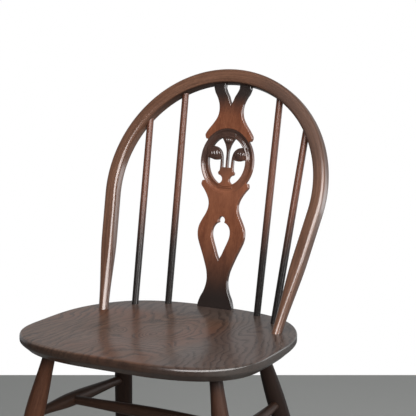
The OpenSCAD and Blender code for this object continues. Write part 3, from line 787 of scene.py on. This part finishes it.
lower_edge = through([
    (34.6, 7), (30.8, 18.8), (25, 30.3), (21.5, 41.5), (20.4, 52.4), (21.6, 63), (24.4, 73.4),
    (32.5, 94), (41.6, 114.6), (45.2, 125), (46.3, 135.6), (44.3, 146.6), (38.8, 158),
    (32.6, 169.2), (29.2, 180.3), (29.6, 190.9), (34, 201.3), (40.8, 211.4), (45.2, 216.6),
    (46.8, 220.6), (45.4, 226.4)], 5)
upper_edge = through([
    (44.4, 301), (46.6, 308.2), (40.4, 318.7), (31.6, 330), (25, 341.1), (22.7, 351.9), (23.4, 362),
    (25.6, 369.5), (29, 376.5), (33.6, 384), (36.7, 392.5)], 5)
notch_edge = through([(0.0, 363.2), (3.8, 371.1), (6.6, 378.3), (11, 385.5), (14.2, 392.5)], 4)
tear_edge = through([
    (0.0, 87.4), (5.4, 97.5), (9.6, 108), (14.2, 118.8), (17.7, 129.5), (18.1, 139), (16, 146),
    (11.4, 151.6), (5.6, 154.6)], 5)
tear_lobe = round_arc(0, 158.6, 6.5, range(-32, 91, 12))
right_side = (
    [(34.6, -4)] + lower_edge + [(40.8, 227.2)]
    + oval_arc(ROUNDEL_W, ROUNDEL_W * ROUNDEL_OVAL, 229.0, 298.4, 26) + [(40.6, 300.2)]
    + upper_edge + [(36.7, 402), (14.2, 402)] + notch_edge[::-1]
)
# The opening's arc stops a hair short of the middle line at its top and bottom
nearly = OPENING_H - 0.001
opening = oval_arc(OPENING_W, OPENING_H, ROUNDEL_H - nearly, ROUNDEL_H + nearly, 48)
# The board lies flat while it is worked, its face up, X across and Y up the splat
splat = fretted(
    "fretted_splat",
    [both_sides(right_side), both_sides(tear_edge + tear_lobe), both_sides(opening)],
    0, SPLAT_T, SPLAT_ARRIS
)

# The moulding round the opening, each point as its distance from the middle and its height
# against the face: a lip beside the opening, a steep fall to a flat channel with a fine groove
# along it, and a steep rise to a second lip at the roundel's outline
MOULDING = [
    (33, -0.7), (38.6, -0.7), (39.5, -0.85), (40.1, -1.15), (40.7, -1.65), (41.3, -2.15),
    (41.9, -2.6), (42.6, -2.92), (43.4, -3.1), (44.1, -3.18), (44.6, -3.5), (45.0, -3.2),
    (46.4, -3.15), (47.2, -2.97), (47.7, -2.6), (48.3, -2.1), (48.9, -1.6), (49.4, -1.25),
    (50.0, -1.0), (51.0, -0.85), (51.9, -0.75), (52.0, -0.45), (52.0, 4), (33, 4),
]
MOULDING_STEPS = 144
nothing_selected()
bpy.ops.mesh.primitive_circle_add(vertices=len(MOULDING), radius=1, fill_type="NOTHING")
cutter = bpy.context.object
for v, (r, h) in zip(cutter.data.vertices, MOULDING):
    v.co = (r / 1000, 0, h / 1000)
bpy.ops.object.mode_set(mode="EDIT")
bpy.ops.mesh.select_all(action="SELECT")
bpy.ops.mesh.spin(steps=MOULDING_STEPS, angle=2 * math.pi, center=(0, 0, 0), axis=(0, 0, 1))
bpy.ops.mesh.select_all(action="SELECT")
bpy.ops.mesh.remove_doubles(threshold=0.000005)
bpy.ops.mesh.normals_make_consistent(inside=False)
bpy.ops.object.mode_set(mode="OBJECT")
cutter.scale = (1, ROUNDEL_OVAL, 1)
cutter.location = (0, ROUNDEL_H / 1000, 0)
settle()
cut_with(splat, cutter)

# The figure in the roundel: a base with a notch each side, a collar, and three flower heads on
# thin stems, all carved a little below the face
base = [(14.4, 216), (14.4, 223.4)] + round_arc(14.4, 231, 7.6, range(-100, -261, -16))
under_head = through([
    (14.4, 238.8), (15.4, 240.6), (16, 242.8), (14.6, 244.8), (13.2, 246.6), (12.6, 252.5),
    (12.7, 262), (12.9, 266.6), (16.6, 265.2), (24.2, 264.4), (31, 266.2), (40.5, 268.5)], 3)
over_head = through([
    (30, 289.5), (20.4, 287.2), (13.4, 281.4), (9.9, 273), (8.6, 262), (8.5, 252.5)], 4)
middle_head = through([(2.1, 276), (2.8, 284), (5.4, 292.5), (9.8, 300), (14, 307), (14, 314)], 4)
figure_right = (
    base + under_head + [(40.5, 289.4)] + over_head + [(2.1, 252.5), (2.1, 272)] + middle_head
)
FIGURE_FRONT = 0.0018
FIGURE_BACK = 0.0085
FIGURE_ARRIS = 0.0010
carved_figure = fretted(
    "carved_figure", [both_sides(figure_right)], FIGURE_FRONT, FIGURE_BACK, FIGURE_ARRIS
)
BOSS_DEPTH = 0.0022
RIDGES = 2.4
RIDGE_RISE = 0.20


def carved_boss(x, y, half_w, half_h, rise, tilt):
    """A flower head: a low rounded boss with small ridges cut across its middle"""
    nothing_selected()
    bpy.ops.mesh.primitive_uv_sphere_add(segments=64, ring_count=40, radius=1)
    boss = bpy.context.object
    for v in boss.data.vertices:
        across = math.exp(-((v.co.y - 0.15) / 0.38) ** 2)
        ridge = 1 + RIDGE_RISE * across * math.cos(2 * math.pi * v.co.x * RIDGES)
        v.co = Vector((
            v.co.x * half_w, v.co.y * half_h, v.co.z * rise * (ridge if v.co.z > 0 else 1)
        ))
    boss.rotation_euler = (0, 0, tilt)
    boss.location = (x / 1000, y / 1000, -BOSS_DEPTH)
    settle()
    return boss


bosses = [
    carved_boss(-26, 275.2, 0.0118, 0.0088, 0.0030, 0.15),
    carved_boss(26, 275.2, 0.0118, 0.0088, 0.0030, -0.15),
    carved_boss(0, 300.5, 0.0084, 0.0052, 0.0028, 0),
]
for carving in [*bosses, carved_figure]:
    cut_with(splat, carving, "UNION")

# The finished board is stood up, leaning back from its foot
pick_up(splat)
splat.rotation_euler = (math.pi / 2 - SPLAT_LEAN, 0, 0)
splat.location = (0, SPLAT_FOOT, LEVEL)
settle()
smooth(splat, 32)
pick_up(splat)
bpy.ops.object.modifier_add(type="WEIGHTED_NORMAL")
splat.modifiers[-1].keep_sharp = True
bpy.ops.object.modifier_apply(modifier=splat.modifiers[-1].name)
nothing_selected()

# Beech like the bow's, but redder and under a smoother lacquer, with its figure up the board
splat_paint = Paint("splat_beech", rough=0.42, specular=0.05, coat=0.8, coat_rough=0.11)
flat = splat_paint.place()
flat_x, _, flat_z = splat_paint.parts(flat)
fibre = splat_paint.noise(flat, (520, 520, 18), detail=4)
band = splat_paint.noise(flat, (55, 55, 3.2), detail=2, bend=0.5)
fleck = splat_paint.span(splat_paint.noise(flat, (1500, 1500, 170), detail=1), 0.58, 0.72)
cloud = splat_paint.noise(flat, (24, 24, 12))
figure = splat_paint.plus(splat_paint.times(fibre, 0.5), splat_paint.times(band, 0.5))
splat_tone = splat_paint.blend(
    splat_paint.span(figure, 0.36, 0.64), (0.145, 0.048, 0.024), (0.215, 0.078, 0.039)
)
splat_tone = splat_paint.stain_and_shade(splat_tone, fleck, 0.4, (0.05, 0.02, 0.012))
clouded = splat_paint.blend(
    splat_paint.span(cloud, 0.3, 0.7), (0.86, 0.84, 0.83), (1.08, 1.08, 1.08)
)
splat_tone = splat_paint.blend(1.0, splat_tone, clouded, "MULTIPLY")
# Painted shade near the seat darkens the foot, over a stain sprayed darker there, and a painted
# shadow of the bow darkens the fork
splat_tone = painted_shade(splat_paint, splat_tone, 0.590, 0.450, (0.020, 0.014, 0.012))
splat_tone = painted_shade(splat_paint, splat_tone, 0.765, 0.815, (0.024, 0.017, 0.015))
# Painted shade darkens the roundel's carving, most of all at its top and left, and the moulding
# at its right
ROUNDEL_Z = 0.6946
ROUNDEL_TALL = 0.0572
right = splat_paint.work_out("DIVIDE", flat_x, ROUNDEL_W / 1000)
up = splat_paint.work_out("DIVIDE", splat_paint.less(flat_z, ROUNDEL_Z), ROUNDEL_TALL)
far = splat_paint.plus(splat_paint.times(right, right), splat_paint.times(up, up))
up_left = splat_paint.less(splat_paint.times(up, 0.9), splat_paint.times(right, 0.4))
moulding_shade_at_right = splat_paint.times(
    splat_paint.span(far, 0.45, 0.55), splat_paint.span(right, 0.2, 0.75, 0.0, 0.7)
)
carving_painted_shade = splat_paint.work_out("MAXIMUM", splat_paint.span(up_left, -0.75, 0.1), moulding_shade_at_right)
carving_painted_shade = splat_paint.times(splat_paint.span(far, 1.02, 0.97), carving_painted_shade)
splat_tone = splat_paint.stain_and_shade(splat_tone, carving_painted_shade, 0.8, (0.027, 0.022, 0.020))
# Below it, and on the lower half of its figure, the wood is paler
paler = splat_paint.times(
    splat_paint.span(flat_z, 0.59, 0.64), splat_paint.span(flat_z, 0.700, 0.672)
)
splat_tone = splat_paint.stain_and_shade(splat_tone, paler, 0.28, (0.285, 0.112, 0.062))
splat_paint.give("Base Color", splat_tone)
splat_paint.give("Roughness", splat_paint.span(cloud, 0.3, 0.7, 0.38, 0.5, soft=False))
splat_paint.bump(splat_paint.less(fibre, fleck), 0.00004, 0.6)
add_to_chair(splat, splat_paint.material, "splat_wood", "splat")

# Legs
# Four turned beech legs that splay and rake outwards. Each swells from a thin neck to where the
# stretcher enters it and thins again to the floor, and is glued into a blind hole in the seat.
NECK_D = 0.021
NECK_END = 0.0233
FLOOR_D = 0.023
DROP = 0.142
LEG_PARTS = 33
LEG_TOP = 0.018
PAST_FLOOR = 0.0006
# Each one's side, the place of its top out from the middle and back from the bow's feet, its
# splay and rake as slopes, and its diameter at the stretcher
LEGS = {
    "leg_front_left": (-1, 0.1508, -0.1813, 0.218, -0.156, 0.0334),
    "leg_front_right": (1, 0.1508, -0.1813, 0.218, -0.156, 0.0334),
    "leg_rear_left": (-1, 0.1307, 0.0005, 0.178, 0.282, 0.0316),
    "leg_rear_right": (1, 0.1307, 0.0005, 0.178, 0.282, 0.0316),
}
leg_paint, leg_tone = stained_beech(
    "leg_beech", (0.058, 0.024, 0.014), (0.100, 0.042, 0.024), rough=0.5, specular=0.05, coat=0.02
)
# Painted shade darkens the rear legs, those at the right, and the necks under the seat
leg_x, leg_y, _ = leg_paint.parts(leg_paint.place())
rear = leg_paint.span(leg_y, -0.06, 0.03)
leg_tone = leg_paint.stain_and_shade(leg_tone, rear, 0.85, (0.012, 0.009, 0.008))
leg_tone = leg_paint.blend(
    leg_paint.span(leg_x, 0.0, 0.15, 0.0, 0.5), leg_tone, (0.016, 0.010, 0.008)
)
leg_tone = painted_shade(leg_paint, leg_tone, 0.375, 0.412, (0.014, 0.011, 0.010))
leg_paint.give("Base Color", leg_tone)


def leg_slant(leg):
    """How much longer a leg is than its height"""
    return math.sqrt(1 + leg[3] ** 2 + leg[4] ** 2)


def down_leg(leg, s):
    """The point of a leg's axis a distance s down from the setting-out level"""
    side, x, y, splay, rake, _ = leg
    h = s / leg_slant(leg)
    return Vector((side * (x + splay * h), FOOT_LINE + y + rake * h, LEVEL - h))


def leg_radius(s, length, belly):
    """The radius a distance s down from the setting-out level"""
    if s < DROP:
        return (NECK_D + (belly - NECK_D) * ease(s, NECK_END, DROP)) / 2
    return (belly - (belly - FLOOR_D) * ((s - DROP) / (length - DROP)) ** 1.7) / 2


for node, leg in LEGS.items():
    length = LEVEL * leg_slant(leg)
    belly = leg[5]
    radii = []
    for i in range(LEG_PARTS + 1):
        s = length + PAST_FLOOR - (length - LEG_TOP) * i / LEG_PARTS
        radii.append((length - s, leg_radius(s, length, belly)))
    # The foot is sawn level with the floor and its edge is eased
    low = radii[0][1]
    radii = [(0.0, low - 0.0012), (0.0016, low)] + radii[1:]
    piece = turned(
        node.replace("leg", "turned_leg"), down_leg(leg, length), down_leg(leg, 0), radii, 44,
        levels=(0.0, 0.0015)
    )
    add_to_chair(piece, leg_paint.material, "leg_wood", node)

# Stretchers
# Three turned stretchers tie the legs in an H. Each is thickest where another meets it or at its
# middle, and its ends are glued into blind holes.
STRETCHER_END_R = 0.00775
STRETCHER_SHORT = 0.004
STRETCHER_SHOULDER = 0.026
STRETCHER_PARTS = 16
stretcher_paint, stretcher_tone = stained_beech(
    "stretcher_beech", (0.030, 0.016, 0.011), (0.055, 0.027, 0.017),
    rough=0.5, specular=0.08, coat=0.06
)
stretcher_paint.give("Base Color", stretcher_tone)


def stretcher(name, a, b, belly_d, share, node):
    """A stretcher between two points of the legs' axes, thickest at this share of its length"""
    length = (b - a).length
    belly = share * length
    grow = belly_d / 2 - STRETCHER_END_R
    swells = [
        STRETCHER_END_R + grow * ease(i / 2, -1, STRETCHER_PARTS / 2)
        for i in range(STRETCHER_PARTS + 1)
    ]
    radii = [(STRETCHER_SHORT, STRETCHER_END_R)]
    for i, r in enumerate(swells):
        radii.append((STRETCHER_SHOULDER + (belly - STRETCHER_SHOULDER) * i / STRETCHER_PARTS, r))
    for i, r in enumerate(swells[-2::-1], 1):
        radii.append((belly + (length - STRETCHER_SHOULDER - belly) * i / STRETCHER_PARTS, r))
    radii.append((length - STRETCHER_SHORT, STRETCHER_END_R))
    piece = turned(name, a, b, radii, 36)
    add_to_chair(piece, stretcher_paint.material, "stretcher_wood", node)


cross_ends = []
for side in ("left", "right"):
    front_joint = down_leg(LEGS["leg_front_" + side], DROP)
    rear_joint = down_leg(LEGS["leg_rear_" + side], DROP)
    stretcher(
        "turned_side_stretcher_" + side, front_joint, rear_joint, 0.0245, 0.4,
        "side_stretcher_" + side
    )
    cross_ends.append(front_joint.lerp(rear_joint, 0.4))
stretcher("turned_cross_stretcher", *cross_ends, 0.022, 0.5, "cross_stretcher")
